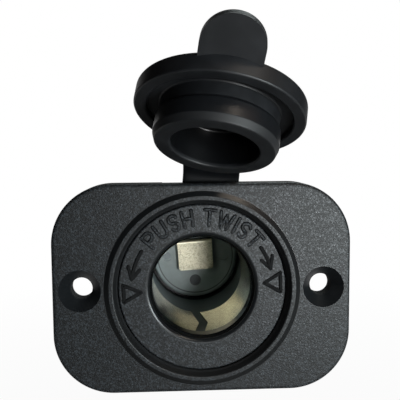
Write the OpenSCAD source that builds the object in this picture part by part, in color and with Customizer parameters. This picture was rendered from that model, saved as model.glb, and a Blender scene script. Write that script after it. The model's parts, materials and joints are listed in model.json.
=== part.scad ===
// Panel-mount 12 V lighter socket with a hinged rubber cap.
// The bore runs along Y and its mouth looks towards -Y. The plate's back, at y = 0, lies on the panel.
// The cap is drawn shut and then swung open about its strap's bend to where it rests.

/* [Bore] */
// Inside diameter of the lip that guides a plug
bore_d = 22; // [21:0.1:22.8]
// How far the mouth opens out beyond the lip, on the radius
mouth_flare = 0.6; // [0.4:0.1:1.2]
// Length of the flared part of the mouth
mouth_flare_len = 2.8; // [1.6:0.1:3.2]
// Rounding of the mouth's edge
mouth_round = 0.9; // [0.4:0.1:1.2]
// Length from the flange's face to the back of the lip
lip_len = 4.5; // [4:0.1:6]
// Depth of the insulating floor below the flange's face
floor_depth = 39.8; // [34:0.2:46]

/* [Socket body] */
// Wall of the barrel
barrel_wall = 1.8; // [1.4:0.1:2.4]
// How far the flange stands out beyond the barrel
flange_overhang = 3.8; // [3.4:0.1:4.6]
// Thickness of the flange
flange_t = 1.8; // [1.4:0.1:2.4]
// How far the flange's face lies below the plate's face
flange_sink = 1.2; // [0.8:0.1:1.6]
// Width of the key that stops the socket turning in the plate
key_w = 4; // [3:0.2:6]
// How far the key stands out of the barrel
key_h = 1.4; // [1:0.1:2]

/* [Mounting plate] */
// Plate left above and below the ridge
plate_margin = 1.6; // [0.8:0.1:4]
// Plate left beyond each countersink
plate_end_margin = 1.4; // [0.6:0.1:4]
// Radius of the plate's corners
plate_corner_r = 13; // [8:0.2:16]
// Rounding of the plate's front edge
plate_edge_r = 0.8; // [0.3:0.1:1.2]
// Thickness of the front skin over the cored pockets
plate_skin_t = 2.4; // [1.8:0.1:3]
// Wall round the cored pockets
plate_wall = 1.8; // [1.4:0.1:2.4]
// Web between the flange and the strap's ring
plate_web_t = 1.4; // [1:0.1:2]
// Height of the ridge above the plate
ridge_h = 0.7; // [0.4:0.1:0.8]
// Flat width on top of the ridge
ridge_top_w = 0.9; // [0.6:0.1:1.4]
// Run of the ridge's outer slope
ridge_flank = 1.05; // [0.6:0.05:1.6]
// Run of the ridge's inner slope
ridge_inner_run = 0.8; // [0.4:0.1:1.2]
// Diameter of the screw holes
screw_hole_d = 4.7; // [3.6:0.1:5]
// Diameter of the countersinks
countersink_d = 9; // [7.6:0.1:10]
// Depth of the countersinks
countersink_depth = 3.1; // [2:0.1:3.4]
// Plate left between the ridge and each countersink
screw_land = 0.6; // [0.4:0.1:3]

/* [Clamp nut] */
// Thickness of the nut
nut_t = 7; // [5:0.5:10]
// Number of finger scallops round the nut
nut_scallops = 12; // [8:1:16]
// Radius of a scallop
scallop_r = 2.4; // [1.6:0.1:3]
// Depth of a scallop
scallop_depth = 0.9; // [0.5:0.1:1.2]

/* [Contacts] */
// How far the ground band stands back from the lip, on the radius
band_step = 1; // [0.6:0.1:1.8]
// Thickness of the ground band
band_t = 0.5; // [0.4:0.05:0.7]
// Length of the ground band along the bore
band_len = 19.6; // [14:0.2:24]
// Width of the split in the band
split_w = 2.2; // [1.4:0.1:3]
// How far the split's chevron points sideways
split_point = 1.6; // [0.6:0.1:2]
// Width of the band's tail
tail_w = 6; // [4:0.2:6.4]
// Width of the centre contact's pad
pad_w = 9.6; // [8:0.2:11]
// Height of the centre contact's pad
pad_h = 8.5; // [7.6:0.1:9]
// Thickness of the centre contact's strip
pad_t = 0.6; // [0.4:0.1:0.8]
// Gap between the two legs of the folded contact
pad_gap = 1.8; // [1.4:0.1:2.4]
// Outer radius of the fold's two bends
pad_fold_r = 0.9; // [0.85:0.05:1]
// Radius of the pad's lower corners
pad_corner_r = 0.8; // [0.4:0.1:1.4]
// How far the pad's middle lies above its rivet
pad_rise = 0.7; // [0:0.1:1]
// Turn of the centre contact about its rivet
pad_turn = 3.5; // [0:0.5:6]
// Width of a terminal blade
blade_w = 6.3; // [4.8:0.1:6.6]
// Thickness of a terminal blade
blade_t = 0.8; // [0.5:0.1:1]
// How far the blades stand out behind the base
blade_len = 9; // [7:0.5:14]
// Diameter of the hole in a blade
blade_hole_d = 1.7; // [1.2:0.1:2.2]
// Diameter of a rivet's shank
rivet_d = 2.6; // [2:0.1:3]
// Diameter of a rivet's head
rivet_head_d = 4.2; // [3.6:0.1:4.6]
// Height of a rivet's head
rivet_head_h = 0.8; // [0.5:0.1:1]

/* [Base] */
// Thickness of the base's floor
base_web_t = 3.4; // [2.6:0.1:4.4]
// How far the floor stands proud of the base's shoulder
floor_boss_h = 2; // [1:0.1:2.4]
// Gap between the floor's rim and the barrel
floor_gap = 0.8; // [0.5:0.1:1.2]
// Length of barrel behind the floor
base_seat_len = 5; // [4.8:0.1:7]
// Thickness of the base's rear flange
base_flange_t = 2.2; // [1.6:0.1:3]
// Wall of the well round the terminals
base_well_wall = 1.5; // [1:0.1:2]
// Width of a latch
latch_w = 5.6; // [4:0.2:7]
// Length of a latch
latch_len = 1.8; // [1.4:0.1:2.2]
// Diameter of the moulding's ejector marks
ejector_d = 2.9; // [2:0.1:3.4]
// Depth of the ejector marks
ejector_depth = 0.3; // [0.1:0.05:0.5]
// Distance of the ejector marks at the sides from the axis
ejector_side = 8; // [7.4:0.1:8.6]
// Distance of the lower ejector mark from the axis
ejector_drop = 7; // [6.4:0.1:8.6]

/* [Cap] */
// Diameter of the cap's disc
cap_d = 29.6; // [28:0.2:31]
// Thickness of the cap's disc
cap_t = 3.4; // [3.4:0.1:4.5]
// Width of the flat rim on the cap's underside
cap_rim_w = 2.2; // [1.4:0.1:2.6]
// Depth of the groove between rim and plug
cap_groove = 1.2; // [0.6:0.1:1.8]
// Length of the plug below the rim
plug_len = 5.9; // [5.6:0.1:7]
// How far the plug's neck is set in from its bead
plug_neck_inset = 0.4; // [0.3:0.1:1]
// Length of the plug's neck below the rim
plug_neck_len = 1.8; // [1.4:0.1:2]
// Length of the plug's sealing bead
bead_len = 2.8; // [2:0.1:2.8]
// How far the plug's tip is set in from its bead
plug_tip_inset = 0.5; // [0.3:0.1:1]
// Diameter of the plug's hollow
cap_hollow_d = 15.2; // [13:0.2:17]
// Width of the pull tab
tab_w = 10.2; // [8:0.2:11]
// Length of the pull tab beyond the disc
tab_len = 6; // [5.6:0.2:10]
// Thickness of the pull tab
tab_t = 1.4; // [1.2:0.1:1.5]
// How far the pull tab leans outwards
tab_tilt = 31; // [10:1:40]
// Angle by which the cap rests open
open_angle = 114; // [100:1:130]
// Turn of the shut cap about the bore
cap_turn = 2.8; // [0:0.1:6]
// Height of the hinge line above the plate
hinge_rise = 3.1; // [2.4:0.1:4]
// Distance of the hinge line behind the plate's face
hinge_back = 0.2; // [0:0.1:3]
// How far the hinge line dips towards the right
hinge_dip = 5.4; // [0:0.1:8]
// How far the hinge line's right end is turned to the front
hinge_yaw = 3.5; // [0:0.1:5]

/* [Strap] */
// Width of the strap
strap_w = 12.4; // [9:0.2:13]
// Turn of the strap about the bore
strap_turn = 5.5; // [0:0.1:8]
// Thickness of the strap and its ring
strap_t = 1.5; // [1.2:0.1:1.6]
// Width of the ring round the barrel
strap_ring_w = 3.2; // [2.4:0.1:3.6]
// How roundly the strap bends, as the reach of its curve's handles
strap_bend = 4.4; // [3:0.1:6]
// Length of the lug that joins the cap to its strap
lug_len = 2; // [1:0.1:3]

/* [Clearances] */
// Radial clearance of the flange and barrel in the plate
seat_clear = 0.2; // [0.1:0.05:0.4]
// Clearance of the ground band in the barrel
band_clear = 0.1; // [0.05:0.05:0.2]
// Clearance of the base in the barrel and of its latches
base_clear = 0.1; // [0.05:0.05:0.2]
// Clearance of the rivets in their holes
rivet_clear = 0.05; // [0.02:0.01:0.1]
// Radial clearance between nut and barrel
thread_clear = 0.15; // [0.1:0.05:0.3]
// Clearance round the strap and its ring
strap_clear = 0.1; // [0.05:0.05:0.3]
// Radial clearance of the plug's bead in the lip
plug_clear = 0.25; // [0.25:0.05:0.5]
// Gap under the shut cap
cap_gap = 0.1; // [0.05:0.05:0.3]

/* [Hidden] */
$fn = 96;

// Room by which a cutting shape runs past what it cuts
past = 1;
// Small roundings of moulded edges
edge_r = 0.35;
// Flat of a blade's chamfered tip
blade_chamfer = 1.4;
// Steps in a rounded corner of a profile
round_steps = 5;
// Steps in the strap's bend
bend_steps = 16;

bore_r = bore_d / 2;
mouth_r = bore_r + mouth_flare;
band_in_r = bore_r + band_step;
band_out_r = band_in_r + band_t;
cavity_r = band_out_r + band_clear;
barrel_r = cavity_r + barrel_wall;
flange_r = barrel_r + flange_overhang;

strap_ring_in_r = barrel_r + 2 * seat_clear;
strap_ring_out_r = strap_ring_in_r + strap_ring_w;
strap_seat_r = strap_ring_out_r + strap_clear;
strap_seat_t = strap_t + strap_clear;

plate_t = flange_sink + flange_t + plate_web_t + strap_seat_t;
flange_seat_r = flange_r + seat_clear;
ridge_in_r = flange_seat_r + ridge_inner_run;
ridge_out_r = ridge_in_r + ridge_top_w + ridge_flank;
plate_h = 2 * (ridge_out_r + plate_margin);
screw_x = ridge_out_r + screw_land + countersink_d / 2;
plate_w = 2 * (screw_x + countersink_d / 2 + plate_end_margin);
screw_boss_r = countersink_d / 2 + edge_r;
channel_w = strap_w + 2 * (strap_clear + plate_h / 2 * sin(strap_turn));
// The strap runs straight until its whole width has left the plate
strap_free_z = plate_h / 2 + strap_w / 2 * sin(strap_turn);

front_y = -plate_t;
face_y = front_y + flange_sink;
flange_back_y = face_y + flange_t;
web_back_y = -strap_seat_t;
lip_back_y = face_y + lip_len;
floor_y = face_y + floor_depth;
barrel_end_y = floor_y + base_seat_len;
base_web_y = floor_y + base_web_t;
base_end_y = barrel_end_y + base_flange_t;
band_front_y = lip_back_y + band_clear;
band_back_y = band_front_y + band_len;

base_r = cavity_r - base_clear;
latch_r = barrel_r - edge_r;
latch_start_y = barrel_end_y - 2 * latch_len;
latch_slope = 0.6 * latch_len;

// The ground rivet lies as far out as the foot of its terminal finds room in the base's well
well_r = base_r - base_well_wall;
foot_reach = rivet_head_d / 2 + rivet_clear;
ground_rivet_z = sqrt(pow(well_r - base_clear, 2) - pow(blade_w / 2, 2)) - foot_reach;

seat_y = face_y - cap_gap;
cap_r = cap_d / 2;
bead_r = bore_r - plug_clear;
neck_r = bead_r - plug_neck_inset;
cap_out_y = seat_y - cap_t;
hinge = [0, front_y + hinge_back, plate_h / 2 + hinge_rise];
hinge_axis = [cos(hinge_dip) * cos(hinge_yaw), -sin(hinge_yaw), -sin(hinge_dip) * cos(hinge_yaw)];

// Unit vector along v
function unit(v) = v / norm(v);

// Points of an arc of radius r that rounds the corner b between its neighbours a and c
function corner(a, b, c, r) =
    let (u = unit(a - b), v = unit(c - b), half = acos(u * v) / 2)
    let (centre = b + unit(u + v) * r / sin(half))
    let (from = b + u * r / tan(half) - centre, to = b + v * r / tan(half) - centre)
    let (start = atan2(from.y, from.x), turn = atan2(to.y, to.x) - start)
    let (sweep = turn > 180 ? turn - 360 : turn < -180 ? turn + 360 : turn)
    [for (i = [0:round_steps]) centre + r * [cos(start + sweep * i / round_steps),
                                             sin(start + sweep * i / round_steps)]];

// An outline whose points [x, y, r] are rounded with radius r where one is given
function soft(pts) =
    let (n = len(pts), xy = [for (p = pts) [p.x, p.y]])
    [for (i = [0:n - 1]) each is_undef(pts[i][2]) ? [xy[i]]
        : corner(xy[(i + n - 1) % n], xy[i], xy[(i + 1) % n], pts[i][2])];

// The vector v turned by an angle about the unit vector k
function turn_about(v, k, angle) =
    v * cos(angle) + cross(k, v) * sin(angle) + k * (k * v) * (1 - cos(angle));

// A direction or a point of the upright strap, turned about the bore
function strap_way(v) = turn_about(v, [0, 1, 0], strap_turn);

// A direction and a point of the shut cap, at the rest pose
function rest_way(v) = turn_about(turn_about(v, [0, 1, 0], cap_turn), hinge_axis, -open_angle);
function rest_point(p) = hinge + rest_way(p) - turn_about(hinge, hinge_axis, -open_angle);

// The place and the heading at share t of a cubic curve with four control points
function curve_point(p, t) = pow(1 - t, 3) * p[0] + 3 * t * pow(1 - t, 2) * p[1]
    + 3 * t * t * (1 - t) * p[2] + t * t * t * p[3];
function curve_way(p, t) = unit(pow(1 - t, 2) * (p[1] - p[0]) + 2 * t * (1 - t) * (p[2] - p[1])
    + t * t * (p[3] - p[2]));

// A solid of revolution about Y from a profile of radius and y
module turned(profile) rotate([-90, 0, 0]) rotate_extrude() polygon(profile);

// A round bar along Y between two places
module bar(r, y0, y1) translate([0, y0, 0]) rotate([-90, 0, 0]) cylinder(r = r, h = y1 - y0);

// A drawing seen from the front, raised from the plane y towards the front
module raised(y, h) translate([0, y, 0]) rotate([90, 0, 0]) linear_extrude(h) children();

// A side view drawn in y and z, made w wide across X
module across(w) rotate([90, 0, 90]) linear_extrude(w, center = true) children();

// A plan drawn in x and y, made h high from z
module standing(z, h) translate([0, 0, z]) linear_extrude(h) children();

// A rectangle with round corners, centred on its middle
module round_rect(w, h, r) {
    square([w - 2 * r, h], center = true);
    square([w, h - 2 * r], center = true);
    for (x = [-1, 1], y = [-1, 1])
        translate([x * (w / 2 - r), y * (h / 2 - r)]) circle(r);
}

// Both screw places
module at_screws() for (side = [-1, 1]) translate([side * screw_x, 0, 0]) children();

module mounting_plate() color("#3a3d3f") difference() {
    union() {
        plate_blank();
        turned(soft([[flange_seat_r, front_y + past], [ridge_out_r, front_y + past], [ridge_out_r, front_y],
                     [ridge_out_r - ridge_flank, front_y - ridge_h, edge_r],
                     [ridge_in_r, front_y - ridge_h, edge_r], [flange_seat_r, face_y]]));
    }
    turned([[0, flange_back_y], [flange_seat_r, flange_back_y], [flange_seat_r, face_y],
            [ridge_in_r, front_y - ridge_h], [ridge_in_r, front_y - ridge_h - past],
            [0, front_y - ridge_h - past]]);
    bar(barrel_r + seat_clear, front_y, past);
    bar(strap_seat_r, web_back_y, past);
    key_solid(seat_clear, past);
    translate([-channel_w / 2, web_back_y, 0]) cube([channel_w, strap_seat_t + past, plate_h]);
    at_screws() {
        bar(screw_hole_d / 2, front_y - past, past);
        turned([[0, front_y - past], [countersink_d / 2, front_y - past], [countersink_d / 2, front_y],
                [screw_hole_d / 2, front_y + countersink_depth], [0, front_y + countersink_depth]]);
    }
    raised(past, plate_t - plate_skin_t + past) core_outline();
}

// The plate before it is cut: round corners and a rounded front edge
module plate_blank() hull()
    for (x = [-1, 1], z = [-1, 1])
        translate([x * (plate_w / 2 - plate_corner_r), 0, z * (plate_h / 2 - plate_corner_r)])
            turned(soft([[0, front_y], [plate_corner_r, front_y, plate_edge_r],
                         [plate_corner_r, 0], [0, 0]]));

// The pockets cored out of the plate's back, between its rim, hub and screw bosses
module core_outline() difference() {
    round_rect(plate_w - 2 * plate_wall, plate_h - 2 * plate_wall, plate_corner_r - plate_wall);
    circle(strap_seat_r + plate_wall);
    for (side = [-1, 1]) translate([side * screw_x, 0]) circle(screw_boss_r);
    square([channel_w + 2 * plate_wall, plate_h], center = true);
}

// The key under the barrel, with room c round it, ending y_past behind the plate's web
module key_solid(c, y_past) translate([-key_w / 2 - c, flange_back_y, -barrel_r - key_h - c])
    cube([key_w + 2 * c, plate_web_t + y_past, key_h + barrel_wall / 2 + c]);

module socket_body() color("#34373a") difference() {
    union() {
        turned(soft([[mouth_r, face_y, mouth_round], [flange_r, face_y, edge_r], [flange_r, flange_back_y],
                     [barrel_r, flange_back_y], [barrel_r, barrel_end_y], [cavity_r, barrel_end_y],
                     [cavity_r, lip_back_y], [bore_r, lip_back_y], [bore_r, face_y + mouth_flare_len]]));
        key_solid(0, 0);
    }
    at_latches() latch_window();
}

// Both places of the latches, at the left and the right of the barrel
module at_latches() for (side = [0, 180]) rotate([0, side, 0]) children();

// A window in the barrel for a latch
module latch_window() translate([base_r - past, latch_start_y - base_clear, -latch_w / 2 - base_clear])
    cube([barrel_wall + 2 * past, latch_len + 2 * base_clear, latch_w + 2 * base_clear]);

// A latch on the base, with a slope that lets it snap into its window
module latch() standing(-latch_w / 2, latch_w)
    polygon([[base_r - past, latch_start_y], [base_r, latch_start_y],
             [latch_r, latch_start_y + latch_slope], [latch_r, latch_start_y + latch_len],
             [base_r - past, latch_start_y + latch_len]]);

module clamp_nut() color("#2c2e30") difference() {
    turned(soft([[barrel_r + thread_clear, 0], [strap_ring_out_r, 0, edge_r],
                 [strap_ring_out_r, nut_t, 2 * edge_r], [barrel_r + thread_clear, nut_t]]));
    for (i = [0:nut_scallops - 1]) rotate([0, i * 360 / nut_scallops, 0])
        translate([strap_ring_out_r + scallop_r - scallop_depth, 0, 0]) bar(scallop_r, -past, nut_t + past);
}

module terminal_base() color("#2f3133") difference() {
    union() {
        turned(soft([[0, floor_y], [cavity_r - floor_gap, floor_y, 2 * edge_r],
                     [cavity_r - floor_gap, floor_y + floor_boss_h], [base_r, floor_y + floor_boss_h],
                     [base_r, barrel_end_y], [barrel_r, barrel_end_y], [barrel_r, base_end_y, edge_r],
                     [well_r, base_end_y], [well_r, base_web_y], [0, base_web_y]]));
        at_latches() latch();
    }
    at_pad() translate([-pad_w / 2 - base_clear, floor_y - past, -pad_h / 2])
        cube([pad_w + 2 * base_clear, pad_t + past, pad_h]);
    for (z = [0, ground_rivet_z]) translate([0, 0, z])
        bar(rivet_d / 2 + rivet_clear, floor_y - past, base_web_y + past);
    for (place = [[-ejector_side, 0, 0], [ejector_side, 0, 0], [0, 0, -ejector_drop]]) translate(place)
        bar(ejector_d / 2, floor_y - past, floor_y + ejector_depth);
}

// The place of the centre contact, raised above its rivet and turned about it
module at_pad() rotate([0, -pad_turn, 0]) translate([0, 0, pad_rise]) children();

module ground_band() color("#b5ad93") difference() {
    union() {
        difference() {
            turned([[band_in_r, band_front_y], [band_out_r, band_front_y], [band_out_r, floor_y],
                    [band_in_r, floor_y]]);
            difference() {
                bar(band_out_r + past, band_back_y, floor_y + past);
                translate([-tail_w / 2, band_back_y, 0]) cube([tail_w, floor_y, band_out_r + past]);
            }
            standing(-band_out_r - past, band_out_r) split_outline();
        }
        intersection() {
            bar(band_out_r, floor_y - band_t, floor_y);
            translate([-tail_w / 2, floor_y - band_t, ground_rivet_z - foot_reach])
                cube([tail_w, band_t, band_out_r]);
        }
    }
    translate([0, 0, ground_rivet_z]) bar(rivet_d / 2 + rivet_clear, floor_y - past, floor_y + past);
}

// The chevron split in the band, seen from above
module split_outline() {
    middle = (band_front_y + band_back_y) / 2;
    side = [[-1, band_front_y - past], [1, middle], [-1, band_back_y + past]];
    polygon([for (s = [-1, 1]) each [for (p = side)
             [s * split_w / 2 + p.x * split_point / 2, s < 0 ? p.y : band_front_y + band_back_y - p.y]]]);
}

// A strip folded over at the top: the pad in front, and behind it a shorter leg held by the rivet
module centre_contact() color("#c2b998") difference() {
    at_pad() intersection() {
        across(pad_w) translate([floor_y - pad_gap / 2, -pad_h / 2]) difference() {
            round_rect(pad_gap + 2 * pad_t, 2 * pad_h, pad_fold_r);
            round_rect(pad_gap, 2 * (pad_h - pad_t), pad_fold_r - pad_t);
            translate([pad_gap / 2, -pad_h]) square([2 * pad_t, pad_h + pad_gap / 2 + pad_t]);
        }
        raised(floor_y + past, pad_gap + 2 * pad_t + 2 * past) union() {
            round_rect(pad_w, pad_h, pad_corner_r);
            translate([-pad_w / 2, 0]) square([pad_w, pad_h / 2]);
        }
    }
    bar(rivet_d / 2 + rivet_clear, floor_y - past / 2, floor_y + past);
}

// A terminal riveted to the base's back at height z, its blade below the rivet
module terminal(z) {
    tip = base_end_y - base_web_y + blade_len;
    translate([0, base_web_y, z]) difference() {
        intersection() {
            across(blade_w) {
                translate([0, -foot_reach]) square([blade_t, 2 * foot_reach]);
                translate([0, -foot_reach - blade_t]) square([tip, blade_t]);
            }
            standing(-2 * foot_reach, 4 * foot_reach) blade_outline(tip);
        }
        bar(rivet_d / 2 + rivet_clear, -past, blade_t + past);
        translate([0, tip - blade_len / 2, -2 * foot_reach]) cylinder(d = blade_hole_d, h = 2 * foot_reach);
    }
}

// A blade's plan, its tip narrowed by chamfers
module blade_outline(l) polygon([[-blade_w / 2, -past], [blade_w / 2, -past],
    [blade_w / 2, l - blade_chamfer], [blade_w / 2 - blade_chamfer, l],
    [blade_chamfer - blade_w / 2, l], [-blade_w / 2, l - blade_chamfer]]);

module ground_terminal() color("#b5ad93") terminal(ground_rivet_z);

module centre_terminal() color("#b5ad93") terminal(0);

module terminal_rivets() color("#a39b84") {
    translate([0, 0, ground_rivet_z]) rivet(floor_y - band_t);
    rivet(floor_y);
}

// A rivet along Y, with its front head on y0 and its rear head on a terminal's foot
module rivet(y0) {
    y1 = base_web_y + blade_t;
    turned(soft([[0, y0 - rivet_head_h], [rivet_head_d / 2, y0 - rivet_head_h, rivet_head_h / 2],
                 [rivet_head_d / 2, y0], [rivet_d / 2, y0], [rivet_d / 2, y1], [rivet_head_d / 2, y1],
                 [rivet_head_d / 2, y1 + rivet_head_h, rivet_head_h / 2], [0, y1 + rivet_head_h]]));
}

module protective_cap() color("#1c1d20") translate(hinge) rotate(-open_angle, hinge_axis) translate(-hinge)
    rotate([0, cap_turn, 0]) shut_cap();

// The cap as it sits when shut: disc, plug with its sealing bead, strap lug and pull tab
module shut_cap() {
    hollow_r = cap_hollow_d / 2;
    bead_y = seat_y + plug_neck_len;
    turned(soft([[0, cap_out_y], [cap_r, cap_out_y, 2 * edge_r], [cap_r, seat_y, edge_r],
                 [cap_r - cap_rim_w, seat_y, edge_r], [cap_r - cap_rim_w, seat_y - cap_groove, edge_r],
                 [neck_r, seat_y - cap_groove, edge_r], [neck_r, bead_y - plug_neck_inset, edge_r],
                 [bead_r, bead_y, 2 * edge_r], [bead_r, bead_y + bead_len, 2 * edge_r],
                 [bead_r - plug_tip_inset, seat_y + plug_len, edge_r],
                 [hollow_r, seat_y + plug_len, edge_r], [hollow_r, seat_y - cap_groove, edge_r],
                 [0, seat_y - cap_groove]]));
    translate([-strap_w / 2, cap_out_y, cap_r - lug_len]) cube([strap_w, strap_t, 2 * lug_len]);
    translate([0, cap_out_y, lug_len - cap_r]) rotate([-tab_tilt, 0, 0]) translate([0, 0, -lug_len])
        raised(tab_t, tab_t) tab_outline();
}

// The pull tab with its round end, hanging from y = 0
module tab_outline() {
    translate([0, tab_w / 2 - tab_len]) circle(tab_w / 2);
    translate([-tab_w / 2, tab_w / 2 - tab_len]) square([tab_w, tab_len - tab_w / 2 + lug_len + edge_r]);
}

module cap_tether() color("#1f2023") {
    turned([[strap_ring_in_r, -strap_t], [strap_ring_out_r, -strap_t], [strap_ring_out_r, 0],
            [strap_ring_in_r, 0]]);
    strap();
}

// The strap: up from the ring behind the plate, then a twisting bend that ends square on the cap's lug
module strap() {
    low = strap_way([0, -strap_t / 2, strap_ring_in_r + strap_ring_w / 2]);
    edge = strap_way([0, -strap_t / 2, strap_free_z]);
    lug = rest_point([0, cap_out_y + strap_t / 2, cap_r + lug_len]);
    ahead = rest_way([0, 0, -1]);
    path = [edge, edge + strap_bend * strap_way([0, 0, 1]), lug - strap_bend * ahead, lug];
    shares = [for (i = [0:bend_steps]) i / bend_steps];
    middles = [low, for (t = shares) curve_point(path, t)];
    ways = [strap_way([0, 0, 1]), for (t = shares) curve_way(path, t)];
    widths = [strap_way([1, 0, 0]),
              for (t = shares) (1 - t) * strap_way([1, 0, 0]) + t * rest_way([1, 0, 0])];
    faces_out = [for (i = [0:len(ways) - 1]) unit(cross(ways[i], widths[i]))];
    sides = [for (i = [0:len(ways) - 1]) unit(cross(faces_out[i], ways[i]))];
    ring_pts = [for (i = [0:len(ways) - 1]) each [for (c = [[-1, -1], [1, -1], [1, 1], [-1, 1]])
                middles[i] + c.x * strap_w / 2 * sides[i] + c.y * strap_t / 2 * faces_out[i]]];
    last = 4 * (len(ways) - 1);
    walls = [for (i = [0:4:last - 1], k = [0:3]) let (n = (k + 1) % 4)
             each [[i + k, i + n + 4, i + n], [i + k, i + k + 4, i + n + 4]]];
    polyhedron(ring_pts, concat(walls, [[0, 1, 2, 3], [last + 3, last + 2, last + 1, last]]));
}

mounting_plate();
socket_body();
clamp_nut();
terminal_base();
ground_band();
centre_contact();
ground_terminal();
centre_terminal();
terminal_rivets();
protective_cap();
cap_tether();
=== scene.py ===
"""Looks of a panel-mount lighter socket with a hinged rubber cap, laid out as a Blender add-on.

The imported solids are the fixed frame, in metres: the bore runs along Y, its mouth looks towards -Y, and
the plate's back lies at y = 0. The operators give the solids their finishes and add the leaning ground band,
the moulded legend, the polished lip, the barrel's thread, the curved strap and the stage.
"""
import json
import math

import bmesh
import bpy
import numpy as np
from bpy.props import FloatProperty, FloatVectorProperty, IntProperty, PointerProperty
from mathutils import Matrix, Vector


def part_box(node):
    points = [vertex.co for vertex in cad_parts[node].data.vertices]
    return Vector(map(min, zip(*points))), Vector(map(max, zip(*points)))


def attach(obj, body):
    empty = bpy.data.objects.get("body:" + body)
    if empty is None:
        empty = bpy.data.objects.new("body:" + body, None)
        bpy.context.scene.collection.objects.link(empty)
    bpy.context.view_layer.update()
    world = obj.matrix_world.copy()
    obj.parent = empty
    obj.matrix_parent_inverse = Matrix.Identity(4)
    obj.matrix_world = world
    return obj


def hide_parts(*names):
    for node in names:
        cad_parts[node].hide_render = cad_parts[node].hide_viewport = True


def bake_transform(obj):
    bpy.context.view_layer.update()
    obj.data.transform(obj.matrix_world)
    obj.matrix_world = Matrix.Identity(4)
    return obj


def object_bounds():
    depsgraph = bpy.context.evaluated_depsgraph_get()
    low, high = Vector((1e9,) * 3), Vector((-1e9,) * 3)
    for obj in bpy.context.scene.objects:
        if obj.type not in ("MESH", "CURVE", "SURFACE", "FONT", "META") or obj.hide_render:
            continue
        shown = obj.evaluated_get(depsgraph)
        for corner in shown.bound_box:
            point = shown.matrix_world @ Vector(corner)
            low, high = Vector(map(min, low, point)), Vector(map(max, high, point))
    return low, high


bl_info = {
    "name": "Lighter socket",
    "version": (1, 0, 0),
    "blender": (4, 5, 0),
    "location": "View3D > Sidebar > Socket",
    "description": "Finishes, band, legend, lip, thread, strap and stage of a panel-mount lighter socket",
    "category": "Object",
}

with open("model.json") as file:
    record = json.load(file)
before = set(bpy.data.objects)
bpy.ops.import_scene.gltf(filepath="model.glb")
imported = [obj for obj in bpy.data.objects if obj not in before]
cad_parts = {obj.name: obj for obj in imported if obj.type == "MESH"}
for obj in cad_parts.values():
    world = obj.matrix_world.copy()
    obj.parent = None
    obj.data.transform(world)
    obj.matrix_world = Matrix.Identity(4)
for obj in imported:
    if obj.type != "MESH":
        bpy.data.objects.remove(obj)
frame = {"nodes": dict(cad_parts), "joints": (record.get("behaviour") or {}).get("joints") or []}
cad_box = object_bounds()

MM = 0.001
NODES = frame["nodes"]
HINGE = frame["joints"][0]

# The flange's face is where the solid of the socket body begins
FACE_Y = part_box("socket_body")[0].y

# In a new piece, points closer than this are one, and edges that turn by more than this stay sharp
MERGE_DISTANCE = 0.002 * MM
SHARP_ANGLE = math.radians(40)

# Where the finishes of the plate end, in millimetres: both flanks of its ridge as distances from the bore,
# its sides behind a plane, painted darker as shade, and the screw holes as distances from their own lines
RIDGE_INSIDE = (18.3, 19.3)
RIDGE_OUTSIDE = (20.05, 21.25)
PLATE_SHADED_SIDE_Y = -5.3
SCREW_X = 26.25
COUNTERSINK_RADIUS = 4.55
SCREW_HOLE_RADIUS = 2.45

# Where the finishes of the socket body end, in millimetres: mouth and lip as distances from the bore, the
# barrel behind the flange, the cavity behind the lip, and the cavity's end round the floor, painted dark as
# the moat's shade
MOUTH_RADIUS = 12.2
LIP_RADIUS = 11.3
BARREL_Y = -2.9
BARREL_RADIUS = 15.0
CAVITY_Y = -0.2
CAVITY_RADIUS = 13.0
FLOOR_EDGE_SHADE_Y = 34.3

# Where the finishes of the terminal base end, in millimetres: two of its ejector marks, the ring on its
# floor, and its sides behind the floor: the base's own black nylon, and painted shade where they reach into
# the moat
SIDE_MARK_X = -8.0
SIDE_MARK_RADIUS = 1.1
LOW_MARK_Z = -7.0
LOW_MARK_RADIUS = 1.6
FLOOR_RING = (10.4, 10.7)
BASE_SIDE_Y = 35.6

# The centre contact: the line of its fold, in millimetres above the bore and degrees, above which a
# highlight is painted, and the plane behind which its leg is painted dark as shade
FOLD_Z = 4.0
FOLD_DEGREES = 3.5
PAD_LEG_SHADE_Y = 33.1

# The cap's plug, in millimetres: from where to where behind the cap's seat, and between which distances from
# the cap's axis, where None leaves a bound open
# The hollow is painted darker as painted shade
PLUG_HOLLOW_SHADE = (-2.0, 5.2, None, 7.75)
PLUG_SIDE = (1.6, 4.6, 9.0, 12.0)
PLUG_CHAMFER = (4.6, 5.7, 9.0, 12.0)

# A mask's soft edge: half its width in millimetres, and the mask's values before and after it
SOFT = 0.1
CRISP = 0.05
RISES = (0.0, 1.0)
FALLS = (1.0, 0.0)

# The middle of the relief's noise, which stands for a smooth surface
SMOOTH_RELIEF = 0.5

# The legend: each word with the angle of its middle in degrees and the space between its letters in letter
# heights, the angles of each arrow's tail and tip, and the corners of each triangle in millimetres
WORDS = (("PUSH", 119, 0.36), ("TWIST", 63, 0.34))
ARROWS = ((148, 172), (34, 15))
TRIANGLES = (((-17.1, 0.8), (-16.9, -2.9), (-13.3, -0.8)), ((17.0, 3.0), (17.1, -1.2), (13.5, 0.8)))
BARB_DEGREES = 9.0
BARB_SPREAD = 1.25 * MM

# Over this width round the cap's seat the strokes of the legend grow from low to full height
SEAT_RAMP = 0.3 * MM

# The camera's place in millimetres, its turns to the right, down and about its view in degrees, its lens and
# its sensor
CAMERA_PLACE = (-6.4, -132.7, 30.0)
CAMERA_RIGHT = 2.7
CAMERA_DOWN = 4.86
CAMERA_ROLL = 0.48
CAMERA_LENS = 54.0
CAMERA_SENSOR = 36.0

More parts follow.
